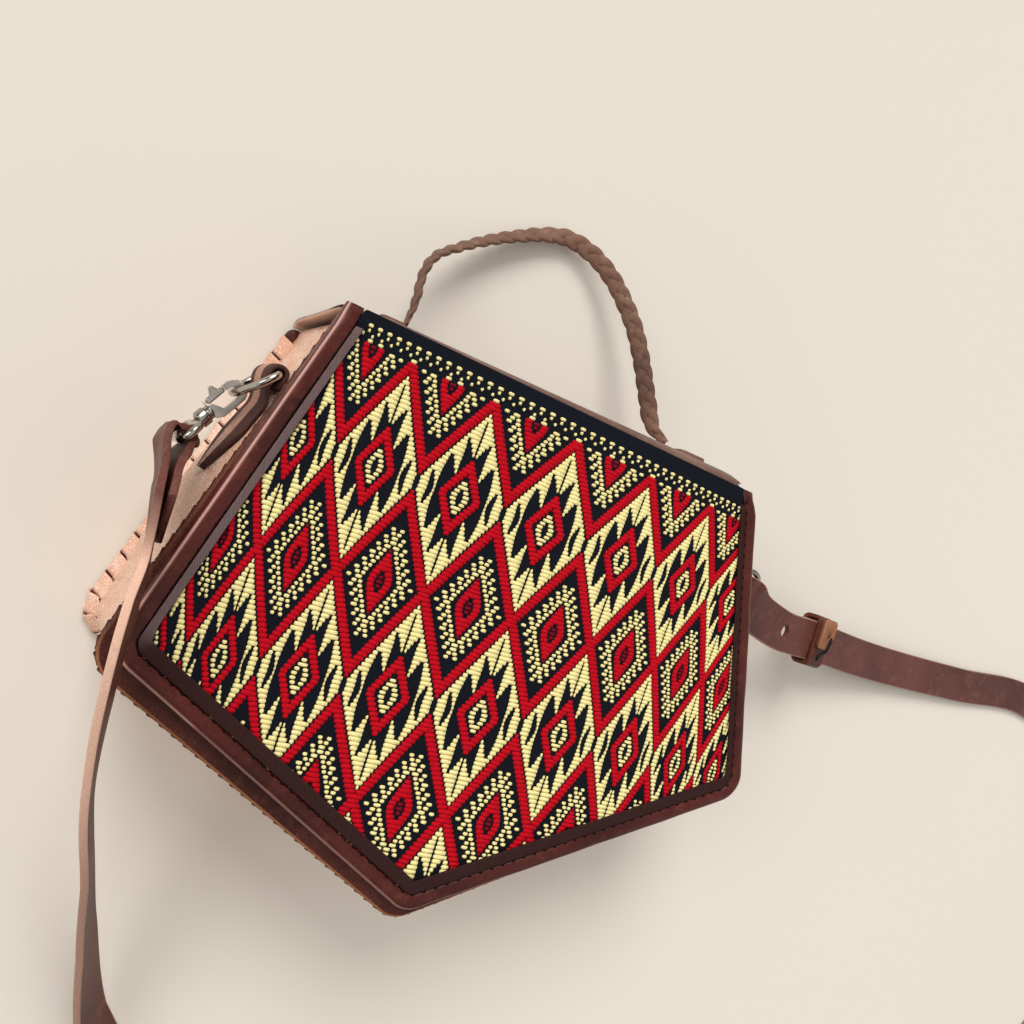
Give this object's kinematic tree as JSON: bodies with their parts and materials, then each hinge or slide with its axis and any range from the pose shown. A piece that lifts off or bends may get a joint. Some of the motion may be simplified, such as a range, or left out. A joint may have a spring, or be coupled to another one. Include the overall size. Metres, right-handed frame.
{
  "type": "leather shoulder bag with a woven cloth flap",
  "caption": "Pentagonal leather shoulder bag with a woven cloth flap front, a plaited top handle and a clip-on leather strap, lying on its back.",
  "frame": {"origin": "on the outer face of the back panel, below the middle of the bag's width, where it lies on its back", "axes": "+X across the bag towards the strap's keeper, +Y up the bag towards the top handle, +Z out of the woven flap"},
  "size_m": [0.64, 0.379, 0.085],
  "materials": {
    "panel_leather": "waxed reddish brown leather",
    "gusset_leather": "glossy pale tan leather",
    "binding_leather": "rolled dark reddish brown leather",
    "woven_cloth": "woven diamond pattern in red, yellow and black cotton",
    "twill_tape": "dark grey purple twill tape",
    "braid_leather": "plaited mid brown leather",
    "tab_leather": "grained pinkish brown leather",
    "strap_leather": "dark brown leather with pale cut edges",
    "tag_leather": "natural tan leather",
    "lace_leather": "black leather lace",
    "nickel": "polished nickel plate"
  },
  "bodies": {
    "bag": {"back_panel": "panel_leather", "front_panel": "panel_leather", "gusset": "gusset_leather", "flap_sheet": "panel_leather", "flap_cloth": "woven_cloth", "flap_binding": "binding_leather", "flap_tape": "twill_tape", "handle_braid": "braid_leather", "handle_tab_left": "binding_leather", "handle_tab_right": "binding_leather", "left_tab": "tab_leather", "left_ring": "nickel", "left_swivel_eye": "nickel", "left_hook": "nickel", "right_tab": "tab_leather", "right_ring": "nickel", "right_hook": "nickel", "strap": "strap_leather", "strap_tongue": "strap_leather", "strap_keeper": "binding_leather", "keeper_tag": "tag_leather", "keeper_lace": "lace_leather"},
    "gate": {"left_gate": "nickel"}
  },
  "joints": [
    {"name": "gate_hinge", "type": "hinge", "parent": "bag", "child": "gate", "pos_m": [-0.10597, 0.03964, 0.033], "axis": [0, 0, -1], "range_deg": [0, 30], "stiffness_Nm_per_rad": 0.0005}
  ]
}
